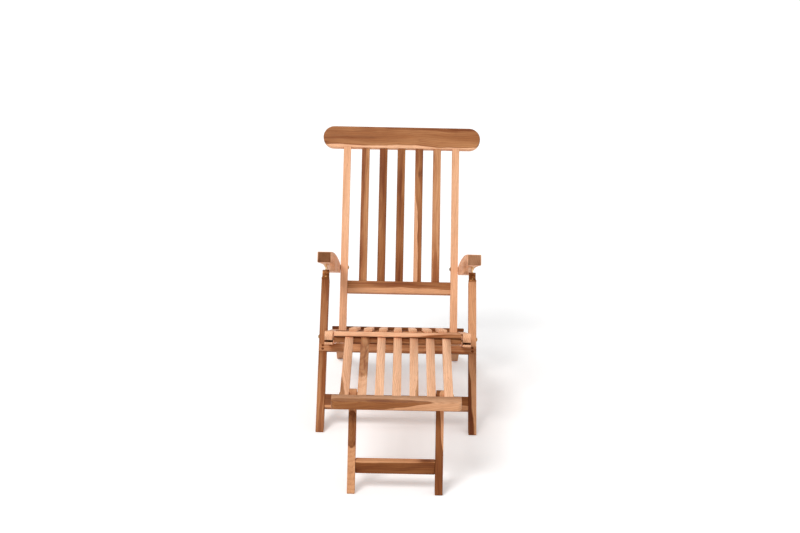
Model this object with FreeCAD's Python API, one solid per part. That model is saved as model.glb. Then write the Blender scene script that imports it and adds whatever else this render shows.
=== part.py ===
import FreeCAD, Part
import math
import os

# Steamer deck chair in teak: a fixed seat frame, folding front legs, a folding back, arm rests that hook on the tops
# of the front legs, and a draw-out footrest on its own folding legs.
# Units are millimetres and degrees. +Z is up, +Y runs from the sitter's feet to the head, +X is to the right when
# the chair is seen from its front. The origin is on the floor, at the middle of the whole chair.

# Driving dimensions: the layers across the chair
clear_width_between_rails = 444.0
rail_thickness = 28.0
layer_gap = 1.5
layer_clearance = 0.3
front_leg_thickness = 28.0
stile_thickness = 27.0

# Driving dimensions: the seat frame
rail_slope = 16.7
rail_depth = 46.0
rail_length = 689.0
rail_front_height = 348.0
rail_end_round = 7.0
front_leg_pivot_along_rail = 269.7
back_pivot_along_rail = 558.6
footrest_slot_height = 8.2
footrest_pivot_along_rail = 28.2
footrest_pivot_drop = 3.0
rear_leg_slope = 33.0
rear_leg_depth = 38.0
rear_leg_reach_beyond_rail = 168.0
rear_leg_housing_behind_pivot = 31.0
rear_leg_step_in = 12.5
rear_foot_round = 6.0
stretcher_height = 44.0
stretcher_thickness = 22.0
stretcher_up_the_leg = 100.0
seat_slat_count = 7
seat_slat_pitch = 51.5
seat_slat_width = 26.8
seat_slat_thickness = 12.0
seat_slat_set_back = 14.0
seat_bar_thickness = 16.5
seat_bar_lip = 12.0
seat_bar_depth = 46.0
seat_bar_end_gap = 5.0
seat_bar_tongue = 7.0
seat_bar_tongue_shoulder = 4.0
seat_batten_width = 40.0
seat_batten_thickness = 20.0
seat_mid_batten_along_rail = 300.0
seat_rear_batten_behind_pivot = 47.0
seat_rear_rail_width = 42.0
seat_rear_rail_height = 12.5

# Driving dimensions: the front legs
front_leg_lean = 39.75
front_leg_depth = 43.0
front_leg_above_pivot = 216.0
rest_pin_above_pivot = 288.0
rest_pin_diameter = 8.0
rest_neck_diameter = 7.0
rest_neck_in_leg = 30.0
leg_cap_height = 42.0
leg_cap_wall = 1.6
leg_cap_inset = 4.0
leg_cap_collar_height = 8.0
leg_cap_screw_diameter = 6.0
leg_cap_screw_up = 12.5
leg_cap_screw_proud = 1.5
upper_rail_below_pivot = 35.0
upper_rail_height = 28.5
upper_rail_thickness = 14.0
upper_rail_proud = 2.4
lower_rail_below_pivot = 224.5
lower_rail_height = 50.0
lower_rail_thickness = 22.0
plug_diameter = 9.0
plug_depth = 6.0
plug_proud = 0.4

# Driving dimensions: the back
back_lean = 27.6
stile_depth = 40.0
stile_below_pivot = 28.0
stile_above_pivot = 729.5
back_slat_count = 5
back_slat_pitch = 68.1
back_slat_width = 30.0
back_slat_thickness = 12.0
back_slat_forward = 5.0
back_rail_above_pivot = 162.5
back_rail_height = 46.5
back_rail_thickness = 25.0
headrest_width = 600.0
headrest_height = 85.0
headrest_thickness = 28.0
headrest_end_round = 44.0

# Driving dimensions: the arms
arm_pivot_up_the_back = 262.4
arm_width = 49.5
arm_outer_overhang = 10.5
arm_outer_slant = 20.0
arm_front_reach = 195.0
arm_front_depth = 34.5
arm_front_drop = 5.0
arm_tip_fall = 2.5
arm_crown_rise = 3.0
arm_middle_rise = 2.0
arm_rear_fall = 5.0
arm_cheek_depth = 29.0
arm_front_corner_round = 5.0
arm_rear_round = 22.0
arm_washer = 2.0
notch_clearance = 0.3
notch_count = 3
notch_pitch = 27.0
notch_lip = 3.0

# Driving dimensions: the footrest
footrest_slope = 6.3
footrest_slat_count = 7
footrest_slat_pitch = 55.3
footrest_slat_width = 28.5
footrest_slat_thickness = 12.0
footrest_slat_length = 456.0
footrest_top_above_pivot = 15.5
footrest_rear_rail_width = 26.0
footrest_rear_rail_below_pivot = 9.5
footrest_rear_rail_above_pivot = 12.5
footrest_rear_rail_round = 8.0
footrest_rear_rail_end_gap = 4.0
footrest_bearer_depth = 35.0
footrest_bearer_thickness = 26.0
footrest_front_rail_depth = 53.0
footrest_front_rail_thickness = 25.0
footrest_front_rail_width = 412.0
footrest_leg_lean = 21.6
footrest_leg_depth = 36.0
footrest_leg_thickness = 25.0
footrest_leg_side_gap = 1.5
footrest_leg_behind_rail = 15.0
footrest_crossbar_height = 42.5
footrest_crossbar_depth = 30.0
footrest_crossbar_above_floor = 57.0
footrest_pin_diameter = 7.0
footrest_pin_play = 0.15

# Driving dimensions: fittings and edges
bolt_diameter = 8.0
bolt_hole_play = 0.3
bolt_shoulder = 0.5
bolt_head_diameter = 16.0
bolt_head_height = 4.5
washer_diameter = 20.0
edge_ease = 2.0
slat_edge_ease = 1.6

# Side-view directions, each as (y, z)


def turned(angle):
    return (math.cos(math.radians(angle)), math.sin(math.radians(angle)))


def step(start, *moves):
    y, z = start
    for amount, direction in moves:
        y += amount * direction[0]
        z += amount * direction[1]
    return (y, z)


rail_rearward = turned(-rail_slope)
rail_upward = turned(90.0 - rail_slope)
leg_upward = turned(90.0 - front_leg_lean)
leg_forward = turned(180.0 - front_leg_lean)
back_upward = turned(90.0 - back_lean)
back_forward = turned(180.0 - back_lean)
rear_leg_downward = turned(-rear_leg_slope)
rear_leg_over = turned(90.0 - rear_leg_slope)
rest_outward = turned(180.0 + footrest_slope)
rest_upward = turned(90.0 + footrest_slope)
foot_downward = turned(270.0 - footrest_leg_lean)
foot_forward = turned(180.0 - footrest_leg_lean)

# Side-view points, first from the front end of the side rails

rail_front = (0.0, rail_front_height)
rail_rear = step(rail_front, (rail_length, rail_rearward))
rear_foot = (rail_rear[0] + rear_leg_reach_beyond_rail, 0.0)
footrest_pivot = step(rail_front, (footrest_pivot_along_rail, rail_rearward), (-footrest_pivot_drop, rail_upward))
slat_start = footrest_rear_rail_width / 2 + 1.5
slat_end = slat_start + footrest_slat_length
front_rail_corner = (slat_end, footrest_top_above_pivot - footrest_front_rail_thickness)
leg_turn = math.radians(footrest_leg_lean + footrest_slope)
leg_off_corner = footrest_leg_depth / 2 + footrest_leg_behind_rail
footrest_leg_pivot_up = footrest_top_above_pivot - footrest_leg_depth / 2 + 0.5
footrest_leg_pivot_out = front_rail_corner[0] - (
    leg_off_corner + math.sin(leg_turn) * (footrest_leg_pivot_up - front_rail_corner[1])
) / math.cos(leg_turn)
footrest_leg_pivot = step(
    footrest_pivot, (footrest_leg_pivot_out, rest_outward), (footrest_leg_pivot_up, rest_upward)
)
front_leg_pivot = step(rail_front, (front_leg_pivot_along_rail, rail_rearward))
back_pivot = step(rail_front, (back_pivot_along_rail, rail_rearward))
arm_pivot = step(back_pivot, (arm_pivot_up_the_back, back_upward))
rest_pin = step(front_leg_pivot, (rest_pin_above_pivot, leg_upward))

# Distances across the chair, from its middle plane
rail_inside = clear_width_between_rails / 2
rail_outside = rail_inside + rail_thickness
rear_leg_inside = rail_inside - rear_leg_step_in
rear_leg_outside = rear_leg_inside + rail_thickness
leg_inside = rail_outside + layer_gap
leg_outside = leg_inside + front_leg_thickness
stile_outside = rail_inside - layer_gap
stile_inside = stile_outside - stile_thickness
arm_outside = leg_outside + arm_outer_overhang
arm_inside = arm_outside - arm_width
arm_rear_inside = stile_outside + arm_washer
leg_layer_inside = leg_inside - layer_gap / 2
bolt_radius = bolt_diameter / 2
bolt_hole_radius = bolt_radius + bolt_hole_play

# Shape helpers


def point3(x, point):
    return FreeCAD.Vector(x, point[0], point[1])


def prism(x_from, x_to, points):
    corners = [point3(x_from, p) for p in points]
    face = Part.Face(Part.makePolygon(corners + [corners[0]]))
    return face.extrude(FreeCAD.Vector(x_to - x_from, 0, 0))


def plank(x_from, x_to, start, along, across, s_from, s_to, t_from, t_to):
    """A bar between two layers, measured along and across a direction in the side view."""
    corners = [(s_from, t_from), (s_to, t_from), (s_to, t_to), (s_from, t_to)]
    return prism(x_from, x_to, [step(start, (s, along), (t, across)) for s, t in corners])


def rod(x_from, x_to, point, radius):
    return Part.makeCylinder(radius, x_to - x_from, point3(x_from, point), FreeCAD.Vector(1, 0, 0))


def rod_between(first, last, radius):
    return Part.makeCylinder(radius, first.distanceToPoint(last), first, last - first)


def bolt_head(x_face, point, side):
    """The cap of a ball on a flat face, bulging to the given side."""
    radius, height = bolt_head_diameter / 2, bolt_head_height
    ball_radius = (radius * radius + height * height) / (2 * height)
    centre = point3(x_face + side * (height - ball_radius), point)
    ball = Part.makeSphere(ball_radius, centre)
    half = Part.makeBox(height, 2 * radius + 2, 2 * radius + 2)
    corner_x = x_face if side > 0 else x_face - height
    half.translate(FreeCAD.Vector(corner_x, point[0] - radius - 1, point[1] - radius - 1))
    return ball.common(half)


def ring(x_from, x_to, point, outer, inner):
    return rod(x_from, x_to, point, outer).cut(rod(x_from - 1, x_to + 1, point, inner))


def eased(shape, radius):
    return shape.makeFillet(radius, shape.Edges)


def is_along(edge, direction):
    start, end = edge.Vertexes[0].Point, edge.Vertexes[-1].Point
    way = end - start
    return way.Length > 0.01 and abs(abs(way.normalize().dot(direction)) - 1) < 1e-5


def eased_along(shape, radius, direction):
    way = FreeCAD.Vector(*direction)
    return shape.makeFillet(radius, [e for e in shape.Edges if is_along(e, way.normalize())])


def other_side(shape):
    return shape.mirror(FreeCAD.Vector(0, 0, 0), FreeCAD.Vector(1, 0, 0))


def both_sides(shape):
    return Part.makeCompound([shape, other_side(shape)])


def on_floor(point, direction):
    """The point of the floor that a sloping line through the given point meets."""
    return step(point, (-point[1] / direction[1], direction))


def standing_bar(x_from, x_to, middle, along, across, up, half, foot_round):
    """A sloping bar from the floor to a square end above a point of its middle line, with rounded foot corners."""
    side_a = step(middle, (-half, across))
    side_b = step(middle, (half, across))
    bar = prism(x_from, x_to, [
        on_floor(side_a, along), step(side_a, (up, along)), step(side_b, (up, along)), on_floor(side_b, along),
    ])
    feet = [e for e in bar.Edges if is_along(e, FreeCAD.Vector(1, 0, 0)) and abs(e.CenterOfMass.z) < 0.01]
    return bar.makeFillet(foot_round, feet)


def row_places(count, pitch):
    return [(i - (count - 1) / 2) * pitch for i in range(count)]


parts = {}


def pair(name, shape):
    parts[name + "_r"] = shape
    parts[name + "_l"] = other_side(shape)


# Side rails: sloping bars with rounded front corners, and an open slot in each front end for the footrest's pins
half_depth = rail_depth / 2
rail = plank(
    rail_inside, rail_outside, rail_front, rail_rearward, rail_upward, 0, rail_length, -half_depth, half_depth,
)
front_edges = [
    e for e in rail.Edges
    if is_along(e, FreeCAD.Vector(1, 0, 0)) and abs(e.CenterOfMass.y - rail_front[0]) < rail_depth / 2
]
rail = rail.makeFillet(rail_end_round, front_edges)
rail = eased_along(rail, edge_ease, (0, rail_rearward[0], rail_rearward[1]))
slot = plank(
    rail_inside - 1, rail_outside + 1, footrest_pivot, (1.0, 0.0), (0.0, 1.0),
    -footrest_pivot_along_rail * 2, 0, -footrest_slot_height / 2, footrest_slot_height / 2,
)
rail = rail.cut(slot).cut(rod(rail_inside - 1, rail_outside + 1, footrest_pivot, footrest_slot_height / 2))
rail = rail.cut(rod(rail_inside - 1, rail_outside + 1, front_leg_pivot, bolt_radius))
rail = rail.cut(rod(rail_inside - 1, rail_outside + 1, back_pivot, bolt_radius))

# Rear legs: straight bars from the floor up to the rails, let into the rails' inner sides behind the back's pivot
rear_leg_length = (rail_front_height + rail_depth) / math.sin(math.radians(rear_leg_slope))
rear_leg_upward = (-rear_leg_downward[0], -rear_leg_downward[1])
rear_leg = standing_bar(
    rear_leg_inside, rear_leg_outside, step(rear_foot, (rear_leg_depth / 2, rear_leg_over)), rear_leg_upward,
    rear_leg_over, rear_leg_length, rear_leg_depth / 2, rear_foot_round,
)
under_rail_top = plank(
    rear_leg_inside - 5, rear_leg_outside + 5, rail_front, rail_rearward, rail_upward,
    back_pivot_along_rail + rear_leg_housing_behind_pivot, rail_length * 2, -rail_length, half_depth,
)
housing = rear_leg.common(under_rail_top)
rear_leg = eased_along(rear_leg, edge_ease, (0, rear_leg_downward[0], rear_leg_downward[1])).common(under_rail_top)
pair("side_rail", rail.cut(housing))
pair("rear_leg", rear_leg)

# Rear stretcher between the rear legs
stretcher_start = -stretcher_up_the_leg / math.sin(math.radians(rear_leg_slope))
stretcher = plank(
    -rear_leg_inside, rear_leg_inside, rear_foot, rear_leg_downward, rear_leg_over,
    stretcher_start - stretcher_height / 2, stretcher_start + stretcher_height / 2,
    (rear_leg_depth - stretcher_thickness) / 2, (rear_leg_depth + stretcher_thickness) / 2,
)
parts["rear_stretcher"] = eased_along(stretcher, edge_ease, (1, 0, 0))

# Seat front bar: short of the rails, on a tongue at each end, with a rounded front lip
bar_end = rail_inside - seat_bar_end_gap
bar_low = half_depth - seat_bar_thickness
tongue_low = half_depth - seat_bar_tongue
seat_bar = plank(-bar_end, bar_end, rail_front, rail_rearward, rail_upward, 0, seat_bar_lip, bar_low, half_depth)
lip_edges = [
    e for e in seat_bar.Edges
    if is_along(e, FreeCAD.Vector(1, 0, 0)) and e.CenterOfMass.y < rail_front[0] + seat_bar_lip * 0.7
]
seat_bar = seat_bar.makeFillet(seat_bar_lip * 0.35, lip_edges)
bar_board = plank(
    -bar_end, bar_end, rail_front, rail_rearward, rail_upward,
    seat_bar_lip * 0.6, seat_bar_depth, tongue_low, half_depth,
)
bar_tongue = plank(
    -rail_inside, rail_inside, rail_front, rail_rearward, rail_upward,
    seat_bar_lip + seat_bar_tongue_shoulder, seat_bar_depth - seat_bar_tongue_shoulder, tongue_low, half_depth - 1.5,
)
parts["seat_front_bar"] = seat_bar.fuse(bar_board).fuse(bar_tongue).removeSplitter()

# Battens across the seat frame, under the slats
for name, place in (
    ("seat_mid_batten", seat_mid_batten_along_rail),
    ("seat_rear_batten", back_pivot_along_rail + seat_rear_batten_behind_pivot),
):
    batten = plank(
        -rail_inside, rail_inside, rail_front, rail_rearward, rail_upward,
        place, place + seat_batten_width, half_depth - seat_batten_thickness, half_depth,
    )
    parts[name] = eased_along(batten, edge_ease, (1, 0, 0))
parts["seat_rear_batten"] = parts["seat_rear_batten"].cut(parts["rear_leg_r"]).cut(parts["rear_leg_l"])

# Rear rail of the seat: lies across the tops of the side rails at their rear ends
rear_rail_start = rail_length - seat_rear_rail_width
rear_rail = plank(
    -rail_outside, rail_outside, rail_front, rail_rearward, rail_upward,
    rear_rail_start, rail_length, half_depth, half_depth + seat_rear_rail_height,
)
parts["seat_rear_rail"] = eased(rear_rail, edge_ease)

# Seat slats, from just behind the lip to the rear rail
for i, x in enumerate(row_places(seat_slat_count, seat_slat_pitch)):
    slat = plank(
        x - seat_slat_width / 2, x + seat_slat_width / 2, rail_front, rail_rearward, rail_upward,
        seat_slat_set_back, rear_rail_start, half_depth, half_depth + seat_slat_thickness,
    )
    parts["seat_slat_%d" % (i + 1)] = eased(slat, slat_edge_ease)

# Front legs: bars from the floor, past their pivot on the side rails, to a cap under each arm
leg_half = front_leg_depth / 2
leg = standing_bar(
    leg_inside, leg_outside, front_leg_pivot, leg_upward, leg_forward, front_leg_above_pivot, leg_half, edge_ease * 2,
)
leg = eased_along(leg, edge_ease, (0, leg_upward[0], leg_upward[1]))
upper_front = leg_half + upper_rail_proud
upper_span = (-upper_rail_below_pivot - upper_rail_height, -upper_rail_below_pivot)
upper_rail = plank(
    -leg_outside, leg_outside, front_leg_pivot, leg_upward, leg_forward,
    upper_span[0], upper_span[1], upper_front - upper_rail_thickness, upper_front,
)
leg = leg.cut(upper_rail)
leg = leg.cut(rod(leg_inside - 1, leg_outside + 1, front_leg_pivot, bolt_hole_radius))
neck_foot = step(front_leg_pivot, (front_leg_above_pivot - rest_neck_in_leg, leg_upward))
neck_top = step(front_leg_pivot, (rest_pin_above_pivot, leg_upward))
leg_middle = (leg_inside + leg_outside) / 2
neck = rod_between(point3(leg_middle, neck_foot), point3(leg_middle, neck_top), rest_neck_diameter / 2)
leg = leg.cut(neck)
pair("front_leg", leg)
parts["front_cross_rail_upper"] = eased_along(upper_rail, edge_ease, (1, 0, 0))
lower_rail = plank(
    -leg_inside, leg_inside, front_leg_pivot, leg_upward, leg_forward,
    -lower_rail_below_pivot - lower_rail_height, -lower_rail_below_pivot,
    leg_half - 0.5 - lower_rail_thickness, leg_half - 0.5,
)
parts["front_cross_rail_lower"] = eased_along(lower_rail, edge_ease, (1, 0, 0))

# Wooden plugs over the screws of the upper cross rail, two in each end
plugs = []
for share in (0.27, 0.73):
    middle = upper_span[0] + share * upper_rail_height
    inner = point3(leg_middle, step(front_leg_pivot, (middle, leg_upward), (upper_front - plug_depth, leg_forward)))
    outer = point3(leg_middle, step(front_leg_pivot, (middle, leg_upward), (upper_front + plug_proud, leg_forward)))
    plugs.append(rod_between(inner, outer, plug_diameter / 2))
plug_set = Part.makeCompound(plugs)
for plug in plugs:
    parts["front_cross_rail_upper"] = parts["front_cross_rail_upper"].cut(plug).cut(other_side(plug))
parts["cross_rail_plugs"] = both_sides(plug_set)

# Metal caps on the front legs, their screws, and the pins on which the arms rest
cap_top = front_leg_above_pivot + leg_cap_height
cap_slim = front_leg_thickness - 2 * edge_ease
cap = plank(
    leg_inside + edge_ease, leg_inside + edge_ease + cap_slim, front_leg_pivot, leg_upward, leg_forward,
    front_leg_above_pivot, cap_top, -leg_half + leg_cap_inset, leg_half - leg_cap_inset,
)
cap_rims = [e for e in cap.Edges if is_along(e, FreeCAD.Vector(1, 0, 0))]
cap_rims = [e for e in cap_rims if e.CenterOfMass.z > front_leg_pivot[1] + cap_top * leg_upward[1] - leg_half]
cap = cap.makeFillet(leg_half * 0.45, cap_rims)
collar = plank(
    leg_inside, leg_outside, front_leg_pivot, leg_upward, leg_forward,
    front_leg_above_pivot, front_leg_above_pivot + leg_cap_collar_height, -leg_half, leg_half + leg_cap_wall,
)
cap = cap.fuse(collar)
cap = cap.cut(neck)
parts["leg_caps"] = both_sides(cap.removeSplitter())
screw_face = step(
    front_leg_pivot, (front_leg_above_pivot + leg_cap_screw_up, leg_upward), (leg_half - leg_cap_inset, leg_forward)
)
screw_tip = step(screw_face, (leg_cap_screw_proud, leg_forward))
cap_screw = rod_between(point3(leg_middle, screw_face), point3(leg_middle, screw_tip), leg_cap_screw_diameter / 2)
parts["cap_screws"] = both_sides(cap_screw)
cross_pin = rod(leg_inside, leg_outside, rest_pin, rest_pin_diameter / 2)
parts["arm_rest_pins"] = both_sides(neck.fuse(cross_pin).removeSplitter())

# Pivot bolts of the front legs: domed heads outside, washers between the layers, domed nuts inside
leg_bolt = rod(rail_inside - bolt_head_height / 2, leg_outside + bolt_shoulder, front_leg_pivot, bolt_radius)
leg_bolt = leg_bolt.fuse(bolt_head(leg_outside + bolt_shoulder, front_leg_pivot, 1))
leg_bolt = leg_bolt.fuse(bolt_head(rail_inside, front_leg_pivot, -1))
leg_washer = ring(
    rail_outside, rail_outside + layer_gap - layer_clearance, front_leg_pivot, washer_diameter / 2, bolt_radius,
)
parts["leg_bolts"] = both_sides(leg_bolt.fuse(leg_washer).removeSplitter())

# The back: two stiles, five slats, a lower rail and a wide headrest with round ends
stile = plank(
    stile_inside, stile_outside, back_pivot, back_upward, back_forward,
    -stile_below_pivot, stile_above_pivot, -stile_depth / 2, stile_depth / 2,
)
toe = step(back_pivot, (-stile_below_pivot, back_upward))
toe_edges = [
    e for e in stile.Edges
    if is_along(e, FreeCAD.Vector(1, 0, 0))
    and math.dist((e.CenterOfMass.y, e.CenterOfMass.z), toe) < stile_depth
]
stile = stile.makeFillet(stile_depth * 0.35, toe_edges)
stile = stile.cut(rod(stile_inside - 1, stile_outside + 1, back_pivot, bolt_hole_radius))
stile = stile.cut(rod(stile_inside - 1, stile_outside + 1, arm_pivot, bolt_hole_radius))
pair("back_stile", stile)
back_rail_middle = back_slat_forward
back_rail = plank(
    -stile_inside, stile_inside, back_pivot, back_upward, back_forward,
    back_rail_above_pivot, back_rail_above_pivot + back_rail_height,
    back_rail_middle - back_rail_thickness / 2, back_rail_middle + back_rail_thickness / 2,
)
parts["back_lower_rail"] = eased_along(back_rail, edge_ease, (1, 0, 0))
for i, x in enumerate(row_places(back_slat_count, back_slat_pitch)):
    slat = plank(
        x - back_slat_width / 2, x + back_slat_width / 2, back_pivot, back_upward, back_forward,
        back_rail_above_pivot + back_rail_height, stile_above_pivot,
        back_slat_forward - back_slat_thickness / 2, back_slat_forward + back_slat_thickness / 2,
    )
    parts["back_slat_%d" % (i + 1)] = eased_along(slat, slat_edge_ease, (0, back_upward[0], back_upward[1]))
headrest = plank(
    -headrest_width / 2, headrest_width / 2, back_pivot, back_upward, back_forward,
    stile_above_pivot, stile_above_pivot + headrest_height, -headrest_thickness / 2, headrest_thickness / 2,
)
end_edges = [e for e in headrest.Edges if is_along(e, FreeCAD.Vector(0, back_forward[0], back_forward[1]))]
headrest = headrest.makeFillet(min(headrest_end_round, headrest_height * 0.49), end_edges)
rim_edges = []
for face in headrest.Faces:
    if abs(abs(face.normalAt(0, 0).dot(FreeCAD.Vector(0, back_forward[0], back_forward[1]))) - 1) < 1e-6:
        rim_edges += face.Edges
headrest = headrest.makeFillet(edge_ease * 1.5, rim_edges)
parts["headrest"] = headrest

# Pivot bolts of the back, through the stiles and the side rails
back_bolt = rod(stile_inside - bolt_shoulder, rail_outside + bolt_shoulder, back_pivot, bolt_radius)
back_bolt = back_bolt.fuse(bolt_head(rail_outside + bolt_shoulder, back_pivot, 1))
back_bolt = back_bolt.fuse(bolt_head(stile_inside - bolt_shoulder, back_pivot, -1))
back_washer = ring(stile_outside + layer_clearance, rail_inside, back_pivot, washer_diameter / 2, bolt_radius)
parts["back_bolts"] = both_sides(back_bolt.fuse(back_washer).removeSplitter())

# Arms: bent-topped boards with a row of notches under the front half, a deep cheek inside the leg, and both sides
# slanting in towards the stile. The side profile is measured from the pivot, along and above the line to the
# rest pin.
arm_span = math.dist(arm_pivot, rest_pin)
arm_outward = ((rest_pin[0] - arm_pivot[0]) / arm_span, (rest_pin[1] - arm_pivot[1]) / arm_span)
arm_upward = (arm_outward[1], -arm_outward[0])
arm_length = arm_span + arm_front_reach
arm_front_top = arm_front_depth - notch_lip


def arm_point(along, above):
    return step(arm_pivot, (along, arm_outward), (above, arm_upward))


def arm_block(x_from, x_to, under):
    """The arm between two layers: a spline for its top, a given outline for its underside, a round rear end."""
    top = [
        (arm_length, arm_front_top - arm_tip_fall), (arm_length * 0.75, arm_front_top + arm_crown_rise),
        (arm_length * 0.52, arm_front_top + arm_middle_rise), (arm_length * 0.28, arm_front_top - arm_rear_fall),
        (0, arm_rear_round / 2),
    ]
    curve = Part.BSplineCurve()
    curve.interpolate([point3(x_from, arm_point(*p)) for p in top])
    rear_high = point3(x_from, arm_point(*top[-1]))
    rear_mid = point3(x_from, arm_point(-arm_rear_round, 0))
    rear_low = point3(x_from, arm_point(*under[0]))
    outline = [curve.toShape(), Part.Arc(rear_high, rear_mid, rear_low).toShape()]
    corners = [rear_low] + [point3(x_from, arm_point(*p)) for p in under[1:]] + [point3(x_from, arm_point(*top[0]))]
    for start, end in zip(corners, corners[1:]):
        outline.append(Part.LineSegment(start, end).toShape())
    face = Part.Face(Part.Wire(Part.__sortEdges__(outline)))
    return face.extrude(FreeCAD.Vector(x_to - x_from, 0, 0))


notch_places = [arm_span - i * notch_pitch for i in range(notch_count)]
notch_radius = rest_pin_diameter / 2 + notch_clearance
comb_start = notch_places[-1] - notch_pitch * 0.6
rear_under = -arm_rear_round + 2.5
outer_under = [
    (0, rear_under), (comb_start - 8, -notch_lip), (arm_span + notch_pitch, -notch_lip),
    (arm_length - 4, -notch_lip - arm_front_drop),
]
outer_block = arm_block(leg_layer_inside, arm_outside, outer_under)
inner_under = [
    (0, rear_under), (arm_span * 0.86, -arm_cheek_depth), (arm_span * 1.1, -arm_cheek_depth + 1),
    (arm_span + notch_pitch * 1.6, -notch_lip), (arm_length - 4, -notch_lip - arm_front_drop),
]
inner_block = arm_block(arm_rear_inside, leg_layer_inside, inner_under)
arm_front_end = arm_point(arm_length, 0)[0]
slant_out = Part.makePolygon([
    FreeCAD.Vector(arm_outside + arm_outer_slant, arm_front_end - arm_length, -10),
    FreeCAD.Vector(arm_outside + 2 * arm_outer_slant, arm_front_end - arm_length, -10),
    FreeCAD.Vector(arm_outside + 2 * arm_outer_slant, arm_front_end + arm_length, -10),
    FreeCAD.Vector(arm_outside - arm_outer_slant, arm_front_end + arm_length, -10),
    FreeCAD.Vector(arm_outside + arm_outer_slant, arm_front_end - arm_length, -10),
])
outer_block = outer_block.cut(Part.Face(slant_out).extrude(FreeCAD.Vector(0, 0, 2000)))
step_in = Part.makePolygon([
    FreeCAD.Vector(arm_rear_inside - 1, arm_pivot[0] - arm_rear_round, -10),
    FreeCAD.Vector(arm_rear_inside, arm_pivot[0] - arm_rear_round, -10),
    FreeCAD.Vector(arm_inside, arm_front_end, -10),
    FreeCAD.Vector(arm_inside, arm_front_end - arm_length, -10),
    FreeCAD.Vector(arm_rear_inside - 1, arm_front_end - arm_length, -10),
    FreeCAD.Vector(arm_rear_inside - 1, arm_pivot[0] - arm_rear_round, -10),
])
inner_block = inner_block.cut(Part.Face(step_in).extrude(FreeCAD.Vector(0, 0, 2000)))
arm = outer_block.fuse(inner_block).removeSplitter()
tip_middle = arm_point(arm_length - arm_tip_fall, arm_front_top / 2)
front_corners = []
for edge in arm.Edges:
    off_tip = math.dist((edge.CenterOfMass.y, edge.CenterOfMass.z), tip_middle)
    if len(edge.Vertexes) == 2 and off_tip < arm_front_depth / 4:
        if abs(edge.Vertexes[0].Point.x - edge.Vertexes[1].Point.x) < edge_ease:
            front_corners.append(edge)
arm = arm.makeFillet(arm_front_corner_round, front_corners)
top_edges = []
for face in arm.Faces:
    if face.Area > 8000 and face.normalAt(*[sum(face.ParameterRange[i:i + 2]) / 2 for i in (0, 2)]).z > 0.8:
        top_edges += face.Edges
arm = arm.makeFillet(edge_ease * 1.5, top_edges)
for i, place in enumerate(notch_places):
    arm = arm.cut(rod(leg_layer_inside, arm_outside + 1, arm_point(place, 0), notch_radius))
    front_wall = place + notch_radius
    next_tip = place - notch_pitch + notch_radius + 2 if i < notch_count - 1 else comb_start
    wedge = [
        arm_point(place, notch_radius), arm_point(place + notch_radius * 0.7, notch_radius * 0.7),
        arm_point(front_wall, 0), arm_point(front_wall + notch_lip * 0.7, -notch_lip),
        arm_point(front_wall + notch_lip * 0.7, -arm_cheek_depth),
        arm_point(next_tip, -arm_cheek_depth), arm_point(next_tip, -notch_lip),
    ]
    arm = arm.cut(prism(leg_layer_inside, arm_outside + 1, wedge))
arm = arm.cut(rod(arm_rear_inside - 1, leg_inside - 1, arm_pivot, bolt_radius))
pair("arm", arm)

# Pivot bolts of the arms, from inside the stiles into the rear ends of the arms
arm_bolt = rod(stile_inside - bolt_shoulder, leg_inside - 1, arm_pivot, bolt_radius)
arm_bolt = arm_bolt.fuse(bolt_head(stile_inside - bolt_shoulder, arm_pivot, -1))
arm_bolt = arm_bolt.fuse(ring(
    stile_outside + layer_clearance, arm_rear_inside, arm_pivot, washer_diameter / 2 - 1, bolt_radius,
))
parts["arm_bolts"] = both_sides(arm_bolt.removeSplitter())

# Footrest: a rear rail on two pins, slats, two bearers and a flat front rail
rear_half = footrest_rear_rail_width / 2
rest_rail_end = rail_inside - footrest_rear_rail_end_gap
rest_rail = plank(
    -rest_rail_end, rest_rail_end, footrest_pivot, rest_outward, rest_upward,
    -rear_half, rear_half, -footrest_rear_rail_below_pivot, footrest_rear_rail_above_pivot,
)
rest_rail = eased_along(rest_rail, footrest_rear_rail_round, (1, 0, 0))
pin = rod(rest_rail_end - 30, rail_outside - 4, footrest_pivot, footrest_pin_diameter / 2)
pin_hole = rod(rest_rail_end - 30, rail_outside, footrest_pivot, footrest_pin_diameter / 2 + footrest_pin_play)
rest_rail = rest_rail.cut(pin_hole).cut(other_side(pin_hole))
slat_low = footrest_top_above_pivot - footrest_slat_thickness
rest_slats = row_places(footrest_slat_count, footrest_slat_pitch)
for i, x in enumerate(rest_slats):
    slat = plank(
        x - footrest_slat_width / 2, x + footrest_slat_width / 2, footrest_pivot, rest_outward, rest_upward,
        slat_start, slat_end, slat_low, footrest_top_above_pivot,
    )
    slat = eased_along(slat, slat_edge_ease, (0, rest_outward[0], rest_outward[1]))
    tongue = plank(
        x - footrest_slat_width * 0.35, x + footrest_slat_width * 0.35, footrest_pivot, rest_outward, rest_upward,
        0, slat_start + 1, slat_low + 1.5, slat_low + 6.5,
    )
    parts["footrest_slat_%d" % (i + 1)] = slat.fuse(tongue.cut(rest_rail)).removeSplitter()
parts["footrest_rear_rail"] = rest_rail
parts["footrest_pins"] = both_sides(pin)
bearer_inside = rest_slats[-1] - footrest_slat_width / 2 + footrest_leg_side_gap
bearer = plank(
    bearer_inside, bearer_inside + footrest_bearer_thickness, footrest_pivot, rest_outward, rest_upward,
    0, slat_end, slat_low - footrest_bearer_depth, slat_low,
)
bearer = eased_along(bearer, edge_ease, (0, rest_outward[0], rest_outward[1]))
bearer = bearer.cut(rest_rail).cut(plank(
    bearer_inside - 5, bearer_inside + footrest_bearer_thickness + 5, footrest_pivot, rest_outward, rest_upward,
    -50, rear_half - 1, -100, 100,
))
bearer_outside = bearer_inside + footrest_bearer_thickness
bearer = bearer.cut(rod(bearer_inside - 1, bearer_outside + 1, footrest_leg_pivot, bolt_radius))
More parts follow.
